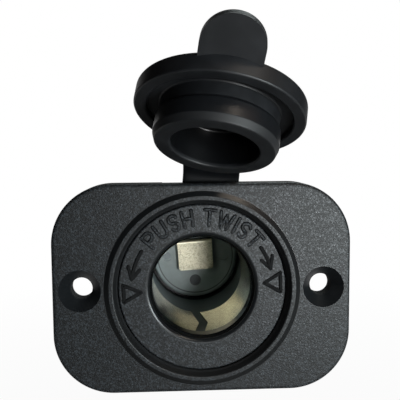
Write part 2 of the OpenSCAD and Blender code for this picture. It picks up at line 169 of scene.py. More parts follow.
# Each lamp's name, place, size, power and colour, and the point that all of them look at
LAMPS = (
    ("key", (0.062, -0.19, 0.003), (0.03, 0.03), 0.3, "#ffffff"),
    ("side", (0.172, -0.246, 0.011), (0.08, 0.06), 1.0, "#effdff"),
    ("ceiling", (0.26, -0.15, 0.26), (0.2, 0.2), 0.05, "#ffc29a"),
    ("bulb", (0.188, -0.198, 0.353), (0.06, 0.06), 0.5, "#fff0de"),
    ("behind", (0.145, 0.42, 0.41), (0.2, 0.2), 1.1, "#f3fffe"),
)
LAMP_AIM = (0.0, 0.0, 0.01)

# The floor's radius and its depth below the plate in metres, and the light of the dim room
FLOOR_RADIUS = 0.4
FLOOR_DROP = 40 * MM
ROOM_LIGHT = 0.015
WHITE = (1, 1, 1, 1)


def linear(code):
    """The linear RGBA colour of an sRGB hex code such as #2b2e30."""
    srgb = np.array([int(code[i:i + 2], 16) for i in (1, 3, 5)]) / 255
    flat = np.where(srgb <= 0.04045, srgb / 12.92, ((srgb + 0.055) / 1.055) ** 2.4)
    return (*(float(c) for c in flat), 1.0)


def length(name, description, millimetres):
    """A property for a size, stored in metres."""
    return FloatProperty(name=name, description=description, default=millimetres * MM, min=0.0,
                         unit="LENGTH", precision=5)


def tilt(name, description, degrees):
    """A property for an angle, stored in radians."""
    return FloatProperty(name=name, description=description, default=math.radians(degrees), subtype="ANGLE")


def colour(name, description, code):
    """A property for a colour, stored linear."""
    return FloatVectorProperty(name=name, description=description, default=linear(code), size=4,
                               min=0.0, max=1.0, subtype="COLOR")


class SocketSizes(bpy.types.PropertyGroup):
    """Sizes of the pieces that the solids leave out."""

    letter_height: length("Letter height", "Height of the moulded letters", 3.3)
    letter_radius: length("Letter circle", "Radius of the circle that the letters' feet stand on", 13.75)
    letter_width: length("Letter stroke", "Width of a letter's stroke at its foot", 0.85)
    letter_top: length("Letter stroke's top", "Width of the flat on top of a letter's stroke", 0.3)
    sign_width: length("Sign stroke", "Width of the arrows' and triangles' strokes at their foot", 0.85)
    sign_top: length("Sign stroke's top", "Width of the flat on top of the signs' strokes", 0.4)
    stroke_height: length("Stroke height", "How far a moulded stroke stands proud of the flange", 0.3)
    stroke_low: length("Low stroke height", "How far it stands proud under the shut cap", 0.07)
    seat_radius: length("Seat radius", "Radius inside which the shut cap lies on the flange", 14.95)
    lip_radius: length("Lip radius", "Inner radius of the lip that lines the mouth", 10.97)
    lip_inset: length("Lip inset", "How far the lip begins behind the flange's face", 0.55)
    lip_length: length("Lip length", "How far the lip reaches behind the flange's face", 4.48)
    lip_bevel: length("Lip bevel", "Length of the bevel at the lip's front", 0.9)
    thread_pitch: length("Thread pitch", "Pitch of the thread on the barrel", 2.0)
    thread_height: length("Thread height", "How far the thread stands proud of the barrel", 0.4)
    thread_start: length("Thread start", "How far behind the clamp nut the thread begins", 0.8)
    thread_end: length("Thread end", "How far before the barrel's end the thread ends", 5.2)
    thread_steps: IntProperty(name="Thread steps", description="Points in one turn of the thread",
                              default=90, min=24)
    barrel_radius: length("Barrel radius", "Radius of the barrel under its thread", 14.4)
    band_radius: length("Band radius", "Inner radius of the ground band at its front", 12.0)
    band_thickness: length("Band thickness", "Thickness of the ground band and its tail", 0.5)
    edge_drop: length("Edge drop", "How far the cone of the band's rear edge lies inside its front", 5.36)
    edge_slope: FloatProperty(name="Edge slope", description="Slope of the cone of the band's rear edge",
                              default=0.2745)
    band_lean: tilt("Band lean", "How far the right tongue leans in to grip the plug", 5.5)
    left_lean: tilt("Left lean", "How far the left tongue leans in", 0.8)
    tip_lean: tilt("Tip lean", "How far the left tongue's free end leans in", 3.4)
    split_width: length("Split width", "Width of the split in the ground band", 2.2)
    split_point: length("Split point", "How far the split's chevron points sideways", 1.6)
    tail_width: length("Tail width", "Width of the ground band's tail", 6.0)
    strap_width: length("Strap width", "Width of the cap's strap", 12.4)
    strap_thickness: length("Strap thickness", "Thickness of the strap and its ring", 1.5)
    strap_bend: length("Strap bend", "Reach of the handles of the strap's curve", 4.4)
    strap_turn: tilt("Strap turn", "Turn of the strap about the bore", 5.5)
    ring_inner: length("Ring inside", "Inner radius of the strap's ring", 14.8)
    ring_outer: length("Ring outside", "Outer radius of the strap's ring", 18.0)
    cap_turn: tilt("Cap turn", "Turn of the shut cap about the bore", 2.8)
    cap_seat: length("Cap seat", "How far the shut cap's seat lies in front of the panel", 4.9)
    lug_reach: length("Lug reach", "Distance of the lug's end from the middle of the shut cap", 16.8)
    lug_front: length("Lug front", "How far the shut cap's lug lies in front of the panel", 7.55)


class SocketColours(bpy.types.PropertyGroup):
    """Colours of the finishes."""

    plate: colour("Plate", "Grained nylon of the mounting plate", "#111315")
    body: colour("Body", "Nylon of the socket body", "#141618")
    cavity: colour("Cavity", "Plain nylon inside the barrel", "#5a6466")
    base: colour("Base", "Nylon of the terminal base", "#7c8889")
    mark: colour("Ejector mark", "Nylon pressed by the mould's ejector pins", "#30363a")
    nut: colour("Nut", "Nylon of the clamp nut", "#222426")
    # Also painted as shade on the legend's flanks, on the signs and in the moat
    smooth: colour("Smooth edge", "Polished mould surfaces of the nylon", "#0c0d0e")
    rubber: colour("Rubber", "Cap and strap", "#0c0d0f")
    plating: colour("Plating", "Nickel over brass", "#ede8d2")
    stage: colour("Stage", "Floor", "#9a9a9a")


def unit(vectors):
    """Vectors at length one."""
    return vectors / np.linalg.norm(vectors, axis=-1, keepdims=True)


def turn_about(points, axis, angle):
    """Points turned by an angle about a unit vector through the origin: the part along the vector stays, and
    the rest turns by the cosine and the sine."""
    k = np.asarray(axis, float)
    p = np.atleast_2d(points)
    cosine = math.cos(angle)
    return p * cosine + np.cross(k, p) * math.sin(angle) + np.outer(p @ k, k) * (1 - cosine)


def opened(vector):
    """A direction on the shut cap, turned about the hinge to the open cap at rest."""
    return turn_about(vector, unit(np.array(HINGE["axis"])), -math.radians(HINGE["range_deg"][1]))[0]


def add_node(tree, kind, inputs=None, **settings):
    """Add a shader node with its settings. Each input is a value or what it is linked from: an output
    socket, or a node, which stands for its first output in use."""
    made = tree.nodes.new("ShaderNode" + kind)
    for name, value in settings.items():
        setattr(made, name, value)
    for name, value in (inputs or {}).items():
        if isinstance(value, bpy.types.Node):
            value = next(output for output in value.outputs if output.enabled)
        if isinstance(value, bpy.types.NodeSocket):
            tree.links.new(value, made.inputs[name])
        else:
            made.inputs[name].default_value = value
    return made


def new_material(name, shader_inputs):
    """A material with a Principled shader; shader_inputs builds the shader's inputs from its node tree."""
    made = bpy.data.materials.new(name)
    made.use_nodes = True
    tree = made.node_tree
    tree.nodes.clear()
    shader = add_node(tree, "BsdfPrincipled", shader_inputs(tree))
    add_node(tree, "OutputMaterial", {"Surface": shader})
    return made


def scale_for(size_mm):
    """The scale of a pattern whose grains or cells are about size_mm across."""
    return 1 / (size_mm * MM)


def toned(tone, factor):
    """A colour made lighter or darker."""
    return tuple(min(1.0, c * factor) for c in tone[:3]) + (1.0,)


def own_place(tree):
    """The X, Y and Z of a point in the object's own coordinates."""
    place = add_node(tree, "TexCoord").outputs["Object"]
    return add_node(tree, "SeparateXYZ", {"Vector": place}).outputs


def distance_from_axis(tree, x_mm=0.0, z_mm=0.0, twin=False):
    """Distance from the line along Y through x_mm and z_mm; a twin line lies on the other side at -x_mm."""
    place = own_place(tree)
    across = add_node(tree, "Math", {0: place["X"]}, operation="ABSOLUTE") if twin else place["X"]
    side = add_node(tree, "Math", {0: across, 1: x_mm * MM}, operation="SUBTRACT")
    up = add_node(tree, "Math", {0: place["Z"], 1: z_mm * MM}, operation="SUBTRACT")
    flat = add_node(tree, "CombineXYZ", {"X": side, "Y": up})
    return add_node(tree, "VectorMath", {0: flat}, operation="LENGTH")


def soft_mask(tree, *edges):
    """The product of soft steps. Each edge gives the distance that it reads, the place of the step and half
    its width in millimetres, and the values before and after it. An edge whose place is None is left out."""
    share = 1.0
    for distance, place_mm, half_mm, (before, after) in edges:
        if place_mm is not None:
            step = add_node(tree, "MapRange", {"Value": distance, "From Min": (place_mm - half_mm) * MM,
                                               "From Max": (place_mm + half_mm) * MM,
                                               "To Min": before, "To Max": after})
            share = add_node(tree, "Math", {0: share, 1: step}, operation="MULTIPLY")
    return share


def ring_zone(low_mm, high_mm, x_mm=0.0, z_mm=0.0, twin=False):
    """A mask between two distances from a line along Y, or within the second one if the first is None."""

    def mask(tree):
        away = distance_from_axis(tree, x_mm, z_mm, twin)
        return soft_mask(tree, (away, low_mm, SOFT, RISES), (away, high_mm, CRISP, FALLS))

    return mask


def behind_zone(y_mm, within_mm=None):
    """A mask of all that lies behind a plane across Y and, if it is given, within a distance of the axis."""

    def mask(tree):
        edges = [(own_place(tree)["Y"], y_mm, CRISP, RISES)]
        if within_mm is not None:
            edges.append((distance_from_axis(tree), within_mm, CRISP, FALLS))
        return soft_mask(tree, *edges)

    return mask


def cap_zone(seat_mm, low_mm, high_mm, near_mm, far_mm):
    """A mask on the open cap: between two planes across its axis, counted from the shut cap's seat at y =
    seat_mm, and between two distances from that axis. A point's distance along the axis is its dot product
    with the axis, and its distance from the axis is what is left of its length."""
    hinge = np.array(HINGE["pos_m"])
    start = hinge - opened(hinge)
    way = opened((0, 1, 0))

    def mask(tree):
        place = add_node(tree, "TexCoord").outputs["Object"]
        off = add_node(tree, "VectorMath", {0: place, 1: start}, operation="SUBTRACT")
        along = add_node(tree, "VectorMath", {0: off, 1: way}, operation="DOT_PRODUCT")
        whole_square = add_node(tree, "VectorMath", {0: off, 1: off}, operation="DOT_PRODUCT")
        along_square = add_node(tree, "Math", {0: along, 1: along}, operation="MULTIPLY")
        away_square = add_node(tree, "Math", {0: whole_square, 1: along_square}, operation="SUBTRACT")
        away = add_node(tree, "Math", {0: away_square}, operation="SQRT")
        return soft_mask(tree,
                         (along, seat_mm + low_mm, SOFT, RISES), (along, seat_mm + high_mm, SOFT, FALLS),
                         (away, near_mm, SOFT, RISES), (away, far_mm, SOFT, FALLS))

    return mask


def pad_fold_highlight(tree):
    """A mask of the centre contact's fold, where a highlight is painted: all that lies above a line which
    rises a little to the right.
    """
    place = own_place(tree)
    rise = math.tan(math.radians(FOLD_DEGREES))
    drop = add_node(tree, "Math", {0: place["X"], 1: rise}, operation="MULTIPLY")
    up = add_node(tree, "Math", {0: place["Z"], 1: drop}, operation="SUBTRACT")
    return soft_mask(tree, (up, FOLD_Z, SOFT, RISES))


def flank_shade_zone(height, low, seat):
    """A mask of the strokes' flanks, where shade is painted: all that lies lower than four fifths of a
    stroke's height there.
    """

    def mask(tree):
        tall = add_node(tree, "MapRange", {"Value": distance_from_axis(tree), "From Min": seat,
                                           "From Max": seat + SEAT_RAMP, "To Min": low, "To Max": height})
        top = add_node(tree, "Math", {0: tall, 1: -0.8, 2: FACE_Y}, operation="MULTIPLY_ADD")
        under = add_node(tree, "Math", {0: own_place(tree)["Y"], 1: top}, operation="SUBTRACT")
        return soft_mask(tree, (under, 0.0, 0.01, RISES))

    return mask


def painted(tree, zones, shade, roughness, relief, strength, depth_mm):
    """Shader inputs of a surface: its colour, roughness and relief, with each zone (mask, colour, roughness)
    painted over them, smooth. The relief has a strength and a depth."""
    for mask_of, zone_tone, zone_roughness in zones:
        mask = mask_of(tree)
        shade = add_node(tree, "Mix", {0: mask, 6: shade, 7: zone_tone}, data_type="RGBA")
        roughness = add_node(tree, "Mix", {0: mask, 2: roughness, 3: zone_roughness}, data_type="FLOAT")
        relief = add_node(tree, "Mix", {0: mask, 2: relief, 3: SMOOTH_RELIEF}, data_type="FLOAT")
    normal = add_node(tree, "Bump", {"Height": relief, "Strength": strength, "Distance": depth_mm * MM})
    return {"Base Color": shade, "Roughness": roughness, "Normal": normal}


def grained_nylon(name, tone, zones, level=0.25):
    """Glass-filled nylon from a spark-eroded mould: a fine even grain that breaks up the light into specks.
    The zones are smooth parts of the mould; on the plate's sides, in the moat and on the legend's flanks
    they are painted shade. The grain is drawn at about 0.3 mm, twice its real size, so that it shows. The
    level sets the strength of the sheen."""

    def inputs(tree):
        place = add_node(tree, "TexCoord").outputs["Object"]
        cells = add_node(tree, "TexVoronoi", {"Vector": place, "Scale": scale_for(0.27)}, feature="F1")
        chance = add_node(tree, "SeparateColor", {"Color": cells.outputs["Color"]})
        bright = add_node(tree, "Math", {0: chance, 1: 3.0}, operation="POWER")
        dark, light = toned(tone, 0.4), toned(tone, 4.0)
        shade = add_node(tree, "Mix", {0: bright, 6: dark, 7: light}, data_type="RGBA")
        roughness = add_node(tree, "MapRange", {"Value": bright, "To Min": 0.54, "To Max": 0.38})
        grain = add_node(tree, "TexNoise", {"Vector": place, "Scale": scale_for(0.35), "Roughness": 0.6})
        surface = painted(tree, zones, shade, roughness, grain, 1.0, 0.07)
        return {**surface, "IOR": 1.5, "Specular IOR Level": level}

    return new_material(name, inputs)


def satin_nylon(name, tone, zones=(), level=0.5, low=0.38, high=0.5, tooth=0.25):
    """Moulded nylon from a plain steel mould: satin, with faint flow clouds and a very fine tooth. The zones
    are the marks of ejector pins, which press smoother and darker discs, other changes of the mould, and
    painted shade where the base reaches into the moat. The level sets the strength of the sheen, the
    roughness lies between low and high, and tooth is the strength of the relief, which is drawn at 0.3 mm so
    that it shows."""

    def inputs(tree):
        place = add_node(tree, "TexCoord").outputs["Object"]
        cloud = add_node(tree, "TexNoise", {"Vector": place, "Scale": scale_for(6.0), "Detail": 3.0,
                                            "Roughness": 0.6})
        pale = add_node(tree, "MapRange", {"Value": cloud, "From Min": 0.35, "From Max": 0.65})
        shade = add_node(tree, "Mix", {0: pale, 6: toned(tone, 0.78), 7: tone}, data_type="RGBA")
        roughness = add_node(tree, "MapRange", {"Value": cloud, "From Min": 0.3, "From Max": 0.7,
                                                "To Min": low, "To Max": high})
        grain = add_node(tree, "TexNoise", {"Vector": place, "Scale": scale_for(0.3), "Roughness": 0.6})
        surface = painted(tree, zones, shade, roughness, grain, tooth, 0.03)
        return {**surface, "IOR": 1.5, "Specular IOR Level": level}

    return new_material(name, inputs)


def moulded_rubber(name, tone, level, zones=()):
    """Moulded nitrile rubber: near-black, soft broad sheen, a faint bloom in clouds. The level sets the
    strength of the sheen. The zones are parts of the mould with a polish of their own, where the sheen draws
    together or spreads, and a zone with a darker colour is painted shade. The fine relief is drawn at 0.35
    mm so that it shows."""

    def inputs(tree):
        place = add_node(tree, "TexCoord").outputs["Object"]
        cloud = add_node(tree, "TexNoise", {"Vector": place, "Scale": scale_for(5.0), "Detail": 4.0,
                                            "Roughness": 0.6})
        bloom = add_node(tree, "MapRange", {"Value": cloud, "From Min": 0.45, "From Max": 0.75})
        shade = add_node(tree, "Mix", {0: bloom, 6: tone, 7: toned(tone, 1.6)}, data_type="RGBA")
        roughness = add_node(tree, "MapRange", {"Value": cloud, "From Min": 0.3, "From Max": 0.7,
                                                "To Min": 0.42, "To Max": 0.54})
        grain = add_node(tree, "TexNoise", {"Vector": place, "Scale": scale_for(0.35), "Roughness": 0.6})
        surface = painted(tree, zones, shade, roughness, grain, 0.06, 0.03)
        return {**surface, "IOR": 1.42, "Specular IOR Level": level}

    return new_material(name, inputs)


def plated_brass(name, tone, low, high, frosting, zones=()):
    """Nickel-plated brass strip: a warm pale metal, frosted by the rolling, a little duller in patches and
    specks. Its roughness lies between low and high, and frosting is the strength of its relief. The specks
    and the frosting are drawn at 0.3 mm so that they show. The zones (mask, share of the tone, roughness)
    are smooth, and their share of the tone paints light and shade: a painted highlight or a painted shade."""

    def inputs(tree):
        place = add_node(tree, "TexCoord").outputs["Object"]
        patch = add_node(tree, "TexNoise", {"Vector": place, "Scale": scale_for(4.0), "Detail": 3.0,
                                            "Roughness": 0.6})
        dull = add_node(tree, "MapRange", {"Value": patch, "From Min": 0.5, "From Max": 0.8})
        shade = add_node(tree, "Mix", {0: dull, 6: tone, 7: toned(tone, 0.75)}, data_type="RGBA")
        cells = add_node(tree, "TexVoronoi", {"Vector": place, "Scale": scale_for(0.3)}, feature="F1")
        chance = add_node(tree, "SeparateColor", {"Color": cells.outputs["Color"]})
        speck = add_node(tree, "Math", {0: chance, 1: 2.0}, operation="POWER")
        shade = add_node(tree, "Mix", {0: speck, 6: shade, 7: toned(tone, 0.62)}, data_type="RGBA")
        roughness = add_node(tree, "MapRange", {"Value": patch, "From Min": 0.3, "From Max": 0.7,
                                                "To Min": low, "To Max": high})
        frost = add_node(tree, "TexNoise", {"Vector": place, "Scale": scale_for(0.3), "Roughness": 0.6})
        painted_light_zones = [(mask, toned(tone, factor), value) for mask, factor, value in zones]
        return {**painted(tree, painted_light_zones, shade, roughness, frost, frosting, 0.05), "Metallic": 1.0}

    return new_material(name, inputs)


def finish_with(material, *names):
    """Give solids their material."""
    for name in names:
        NODES[name].data.materials.clear()
        NODES[name].data.materials.append(material)


def grid_faces(rows, columns):
    """Quads of rows of points, each row closed on itself."""
    row = np.arange(rows - 1)[:, None] * columns
    here = np.arange(columns)[None, :]
    after = (here + 1) % columns
    corners = [row + here, row + after, row + columns + after, row + columns + here]
    return np.stack(corners, -1).reshape(-1, 4)


def tube(rings):
    """A closed surface through rings of points (rings x points x 3), with a flat face over each end: its
    points, and its faces in blocks with the same number of corners."""
    rows, columns = rings.shape[:2]
    ends = np.array([[0], [(rows - 1) * columns]]) + np.arange(columns)
    return rings.reshape(-1, 3), [grid_faces(rows, columns), ends]


def hoop(profile, steps):
    """A closed profile (radius, y) turned about the bore: x and z are radius times cosine and sine."""
    a = np.linspace(0, 2 * np.pi, steps + 1)[:, None]
    radius, y = profile.T
    rings = np.stack(np.broadcast_arrays(radius * np.cos(a), y, radius * np.sin(a)), -1)
    return rings.reshape(-1, 3), [grid_faces(*rings.shape[:2])]


def new_piece(name, shells, material):
    """One mesh object from closed shells (points, blocks of faces) in metres: doubles are merged and normals
    point outwards."""
    points, faces, start = [], [], 0
    for shell_points, blocks in shells:
        points.append(shell_points)
        for block in blocks:
            faces += (block + start).tolist()
        start += len(shell_points)
    mesh = bpy.data.meshes.new(name)
    mesh.from_pydata(np.concatenate(points).tolist(), [], faces)
    work = bmesh.new()
    work.from_mesh(mesh)
    bmesh.ops.remove_doubles(work, verts=work.verts, dist=MERGE_DISTANCE)
    bmesh.ops.recalc_face_normals(work, faces=work.faces)
    work.to_mesh(mesh)
    work.free()
    mesh.shade_smooth()
    mesh.set_sharp_from_angle(angle=SHARP_ANGLE)
    mesh.materials.append(material)
    made = bpy.data.objects.new(name, mesh)
    bpy.context.scene.collection.objects.link(made)
    return made


def arc(centre, radius, start, end, steps=14):
    """Points of an arc in the plane, from one angle to another in degrees."""
    a = np.radians(np.linspace(start, end, steps))
    return np.stack([centre[0] + radius * np.cos(a), centre[1] + radius * np.sin(a)], 1)


def line(*points):
    """Straight strokes through corner points, one stroke for each side."""
    return [np.linspace(a, b, 8) for a, b in zip(points[:-1], points[1:])]


def letter_strokes():
    """Single-stroke capitals one unit high: the strokes of each letter, and its width."""
    stem = line((0, 0), (0, 1))
    bowl = np.concatenate([line((0, 1), (0.32, 1))[0], arc((0.32, 0.73), 0.27, 90, -90),
                           line((0.32, 0.46), (0, 0.46))[0]])
    cup = np.concatenate([line((0, 1), (0, 0.3))[0], arc((0.3, 0.3), 0.3, 180, 360),
                          line((0.6, 0.3), (0.6, 1))[0]])
    snake = np.concatenate([arc((0.29, 0.745), 0.255, 25, 270), arc((0.29, 0.245), 0.245, 90, -155)])
    return {
        "P": (stem + [bowl], 0.59),
        "U": ([cup], 0.6),
        "S": ([snake], 0.56),
        "H": (stem + line((0.6, 0), (0.6, 1)) + line((0, 0.5), (0.6, 0.5)), 0.6),
        "T": (line((0, 1), (0.64, 1)) + line((0.32, 1), (0.32, 0)), 0.64),
        "W": (line((0, 1), (0.2, 0), (0.42, 0.85), (0.64, 0), (0.84, 1)), 0.84),
        "I": (stem, 0.0),
    }


def word_on_circle(word, middle_deg, gap, foot, height):
    """Strokes of a word that stands on a circle about the bore: distance along the word turns into angle,
    and height into radius. gap is the space between letters in letter heights."""
    letters = letter_strokes()
    advance = np.cumsum([0] + [letters[c][1] + gap for c in word])
    middle = (advance[-1] - gap) / 2
    radius = foot + height / 2
    placed = []
    for letter, start in zip(word, advance):
        for stroke in letters[letter][0]:
            angle = math.radians(middle_deg) - (start + stroke[:, 0] - middle) * height / radius
            out = foot + stroke[:, 1] * height
            placed.append(np.stack([out * np.cos(angle), out * np.sin(angle)], 1))
    return placed


def moulded_stroke(path, width, top, height, low, seat):
    """A stroke raised on the flange's face: a section with a flat top and sloping flanks, carried along the
    path. Its round ends shrink the section along a quarter circle, and inside the cap's seat it is low. Its
    foot reaches into the flange by a share of its height."""
    foot_share = 0.3
    least_width = 0.02
    least_height = 0.3
    way = unit(np.gradient(path, axis=0))
    turn = np.radians(np.linspace(90, 0, 5))[:-1]
    before = path[0] - way[0] * (width / 2 * np.sin(turn))[:, None]
    after = path[-1] + way[-1] * (width / 2 * np.sin(turn[::-1]))[:, None]
    centres = np.concatenate([before, path, after])
    ways = np.concatenate([np.repeat(way[:1], len(turn), 0), way, np.repeat(way[-1:], len(turn), 0)])
    shrink = np.concatenate([np.cos(turn), np.ones(len(path)), np.cos(turn[::-1])])
    shrink = np.maximum(shrink, least_width)
    across = np.stack([-ways[:, 1], ways[:, 0]], 1)
    side = np.array([-width, -width, -top, top, width, width]) / 2
    up = np.array([-foot_share, 0.0, 1.0, 1.0, 0.0, -foot_share]) * height
    flat = centres[:, None, :] + across[:, None, :] * (side[None, :] * shrink[:, None])[..., None]
    share = np.interp(np.linalg.norm(flat, axis=-1), [seat, seat + SEAT_RAMP], [low / height, 1.0])
    y = FACE_Y - up[None, :] * np.maximum(shrink, least_height)[:, None] * share
    return tube(np.stack([flat[..., 0], y, flat[..., 1]], -1))


def eased(value, start, run):
    """Zero up to start and one from start + run on, with a rise of 3 t squared - 2 t cubed between them."""
    t = np.clip((value - start) / run, 0, 1)
    return t * t * (3 - 2 * t)


def soft_rectangle(width, thickness, points=40):
    """A rectangle with round corners: powers of cosine and sine, flatter along its width."""
    a = np.linspace(0, 2 * np.pi, points, endpoint=False)
    c, s = np.cos(a), np.sin(a)
    across = np.sign(c) * np.abs(c) ** 0.22
    through = np.sign(s) * np.abs(s) ** 0.4
    return np.stack([across * width / 2, through * thickness / 2], 1)


class SOCKET_OT_mouldings(bpy.types.Operator):
    """Finish the moulded nylon solids: plate, socket body, clamp nut and terminal base"""

    bl_idname = "socket.mouldings"
    bl_label = "Nylon mouldings"

    def execute(self, context):
        tones = context.scene.socket_colours
        smooth = tuple(tones.smooth)
        plate = tuple(tones.plate)
        body = tuple(tones.body)
        mark = tuple(tones.mark)
        plate_zones = [
            (ring_zone(*RIDGE_INSIDE), smooth, 0.54),
            (ring_zone(*RIDGE_OUTSIDE), smooth, 0.36),
            # The sides are painted darker and matt: painted shade along the plate's outline
            (behind_zone(PLATE_SHADED_SIDE_Y), toned(plate, 0.7), 0.95),
            (ring_zone(None, COUNTERSINK_RADIUS, x_mm=SCREW_X, twin=True), toned(plate, 0.9), 0.35),
            (ring_zone(None, SCREW_HOLE_RADIUS, x_mm=SCREW_X, twin=True), smooth, 0.95),
        ]
        body_zones = [
            (ring_zone(None, MOUTH_RADIUS), toned(body, 0.6), 0.3),
            (behind_zone(BARREL_Y, BARREL_RADIUS), body, 0.45),
            (ring_zone(None, LIP_RADIUS), smooth, 0.1),
            (behind_zone(CAVITY_Y, CAVITY_RADIUS), tuple(tones.cavity), 0.42),
            # The cavity's end round the floor is painted dark: painted shade in the moat
            (behind_zone(FLOOR_EDGE_SHADE_Y, CAVITY_RADIUS), smooth, 0.45),
        ]
        base_zones = [
            (ring_zone(None, SIDE_MARK_RADIUS, x_mm=SIDE_MARK_X), toned(mark, 4.0), 0.36),
            (ring_zone(None, LOW_MARK_RADIUS, z_mm=LOW_MARK_Z), mark, 0.5),
            (ring_zone(*FLOOR_RING), mark, 0.5),
            # The base's own black nylon at its back, and painted shade where it reaches into the moat
            (behind_zone(BASE_SIDE_Y), smooth, 0.45),
        ]
        finish_with(grained_nylon("plate_spark_grained_nylon", plate, plate_zones), "mounting_plate")
        finish_with(grained_nylon("body_spark_grained_nylon", body, body_zones), "socket_body")
        finish_with(satin_nylon("base_satin_nylon", tuple(tones.base), base_zones), "terminal_base")
        finish_with(satin_nylon("nut_satin_nylon", tuple(tones.nut)), "clamp_nut")
        return {"FINISHED"}


class SOCKET_OT_contacts(bpy.types.Operator):
    """Finish the plated contacts, terminals and rivets, and lean the ground band in"""

    bl_idname = "socket.contacts"
    bl_label = "Contacts"

    def execute(self, context):
        sizes = context.scene.socket_sizes
        plating = tuple(context.scene.socket_colours.plating)
        bright = plated_brass("bright_nickel_plated_brass", plating, 0.1, 0.18, 0.03)
        sleeve, tail_start = self.sleeve(sizes)
        band = new_piece("spring_band", [sleeve, self.tail(sizes, *tail_start)], bright)
        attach(band, "socket")
        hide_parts("ground_band")
        # Painted highlight on the contact's fold, and painted shade on its leg behind the fold
        fold_highlight_and_leg_shade = [(pad_fold_highlight, 1.2, 0.4), (behind_zone(PAD_LEG_SHADE_Y), 0.15, 0.6)]
        # The contact's plating is toned darker than the band's: painted shade
        folded = plated_brass("folded_brass_painted_light_and_shade", toned(plating, 0.72), 0.56, 0.64, 0.5, fold_highlight_and_leg_shade)
        finish_with(folded, "centre_contact")
        frosted = plated_brass("frosted_nickel_plated_brass", plating, 0.34, 0.44, 0.6)
        finish_with(frosted, "ground_terminal", "centre_terminal", "terminal_rivets")
        return {"FINISHED"}

    @staticmethod
    def sleeve(sizes):
        """A sheet carried round the bore from one side of its split to the other, and the y and radius of
        its rear edge at the top. Its radius shrinks with y, by a lean that fades from right to left and
        returns at the split. Its rear edge lies on a cone, and the split's chevron shifts its start."""
        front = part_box("ground_band")[0].y
        half = sizes.band_thickness / 2
        # u runs round the bore from the right tongue over the top to the left tongue and its tip
        u = np.linspace(0, 1, 121)[:, None]
        left = eased(u, 0.35, 0.3)
        tip = eased(u, 0.82, 0.16)
        slope = np.tan(sizes.band_lean * (1 - left) + sizes.left_lean * (left - tip) + sizes.tip_lean * tip)
        s = np.linspace(0, 1, 30)
        y = sizes.edge_drop / (sizes.edge_slope + slope) * s
        radius = sizes.band_radius + half - slope * y
        shift = sizes.split_point / 2 * (1 - 2 * np.abs(2 * s - 1))
        first = -np.pi / 2 + (shift + sizes.split_width / 2) / radius[0]
        last = 1.5 * np.pi + (shift - sizes.split_width / 2) / radius[-1]
        angle = first * (1 - u) + last * u
        walls = []
        for wall in (radius - half, radius + half):
            walls.append(np.stack([wall * np.cos(angle), front + y, wall * np.sin(angle)], -1))
        loops = np.concatenate([walls[0], walls[1][:, ::-1]], 1)
        rows, columns = loops.shape[:2]
        i = np.arange(len(s) - 1)
        edge = np.stack([i, i + 1, columns - 2 - i, columns - 1 - i], -1)
        blocks = [grid_faces(rows, columns), edge, edge + (rows - 1) * columns]
        top = len(u) // 2
        return (loops.reshape(-1, 3), blocks), (front + y[top, -1], radius[top, -1])

    @staticmethod
    def tail(sizes, back, inner):
        """The band's tail: a strip from the sleeve's rear edge that steps out to the barrel, runs along its
        top to the floor and turns down to its rivet. Its corners are rounded by averaging neighbours, and it
        is bent round the bore: z is the root of radius squared - x squared."""
        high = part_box("ground_band")[1]
        half = sizes.band_thickness / 2
        outer = high.z - half
        floor = high.y - half
        # The corners of its middle line as y and radius, spaced in halves of its thickness
        way = np.array([(back, inner), (back + 2 * half, inner), (back + 6 * half, outer),
                        (back + 9 * half, outer), (floor - 4 * half, outer), (floor, outer),
                        (floor, outer - 4 * half), (floor, outer - 10 * half)])
        stations = np.linspace(0, len(way) - 1, 60)
        run = np.stack([np.interp(stations, range(len(way)), way[:, k]) for k in (0, 1)], 1)
        for _ in range(3):
            run[1:-1] = (run[:-2] + 2 * run[1:-1] + run[2:]) / 4
        ahead = unit(np.gradient(run, axis=0))
        across = np.stack([-ahead[:, 1], ahead[:, 0]], 1)
        x = np.linspace(-0.5, 0.5, 9) * sizes.tail_width
        walls = []
        for side in (half, -half):
            y, radius = np.split(run + side * across, 2, axis=1)
            walls.append(np.stack(np.broadcast_arrays(x, y, np.sqrt(radius ** 2 - x ** 2)), -1))
        return tube(np.concatenate([walls[0], walls[1][:, ::-1]], 1))


